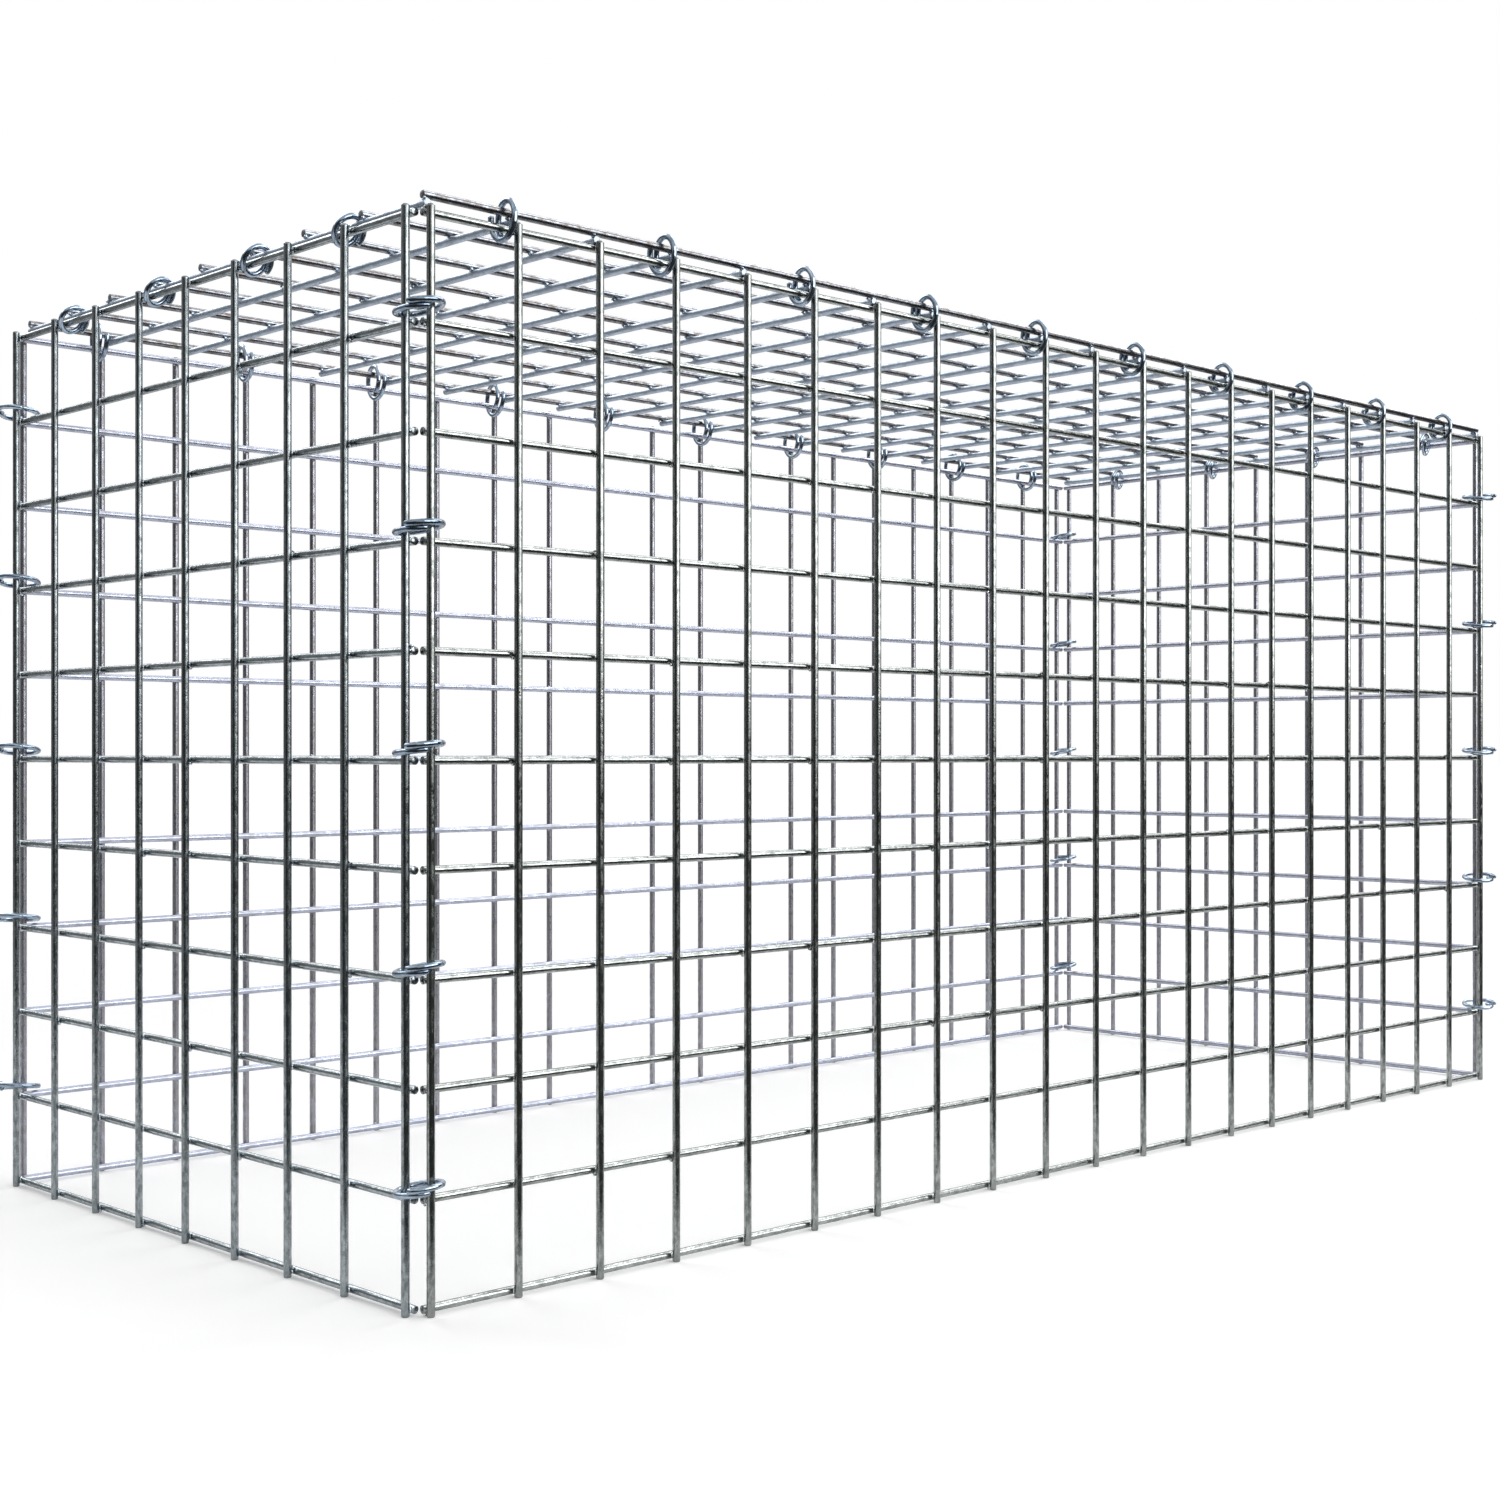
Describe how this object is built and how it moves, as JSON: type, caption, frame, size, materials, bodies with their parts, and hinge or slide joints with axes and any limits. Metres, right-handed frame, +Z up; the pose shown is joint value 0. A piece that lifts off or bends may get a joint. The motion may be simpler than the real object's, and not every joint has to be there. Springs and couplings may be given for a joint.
{
  "type": "gabion basket",
  "caption": "Long welded wire mesh gabion basket with a ringed-on mesh lid and no bottom, for filling with stone or stacking on another basket.",
  "frame": {"origin": "on the ground, midway between the four walls", "axes": "+X along the length, -Y faces out of the long front wall, +Z up to the lid"},
  "size_m": [1.0328, 0.4327, 0.5194],
  "materials": {
    "mesh_wire": "galvanised, satin",
    "ring_wire": "galvanised, bright"
  },
  "bodies": {
    "root": {"back_panel": "mesh_wire", "front_panel": "mesh_wire", "left_end_panel": "mesh_wire", "lid_panel": "mesh_wire", "right_end_panel": "mesh_wire", "ring_back_left_1": "ring_wire", "ring_back_left_2": "ring_wire", "ring_back_left_3": "ring_wire", "ring_back_left_4": "ring_wire", "ring_back_left_5": "ring_wire", "ring_back_right_1": "ring_wire", "ring_back_right_2": "ring_wire", "ring_back_right_3": "ring_wire", "ring_back_right_4": "ring_wire", "ring_back_right_5": "ring_wire", "ring_front_left_1": "ring_wire", "ring_front_left_2": "ring_wire", "ring_front_left_3": "ring_wire", "ring_front_left_4": "ring_wire", "ring_front_left_5": "ring_wire", "ring_front_right_1": "ring_wire", "ring_front_right_2": "ring_wire", "ring_front_right_3": "ring_wire", "ring_front_right_4": "ring_wire", "ring_front_right_5": "ring_wire", "ring_top_back_1": "ring_wire", "ring_top_back_10": "ring_wire", "ring_top_back_2": "ring_wire", "ring_top_back_3": "ring_wire", "ring_top_back_4": "ring_wire", "ring_top_back_5": "ring_wire", "ring_top_back_6": "ring_wire", "ring_top_back_7": "ring_wire", "ring_top_back_8": "ring_wire", "ring_top_back_9": "ring_wire", "ring_top_front_1": "ring_wire", "ring_top_front_10": "ring_wire", "ring_top_front_2": "ring_wire", "ring_top_front_3": "ring_wire", "ring_top_front_4": "ring_wire", "ring_top_front_5": "ring_wire", "ring_top_front_6": "ring_wire", "ring_top_front_7": "ring_wire", "ring_top_front_8": "ring_wire", "ring_top_front_9": "ring_wire", "ring_top_left_1": "ring_wire", "ring_top_left_2": "ring_wire", "ring_top_left_3": "ring_wire", "ring_top_left_4": "ring_wire", "ring_top_right_1": "ring_wire", "ring_top_right_2": "ring_wire", "ring_top_right_3": "ring_wire", "ring_top_right_4": "ring_wire"}
  },
  "joints": []
}
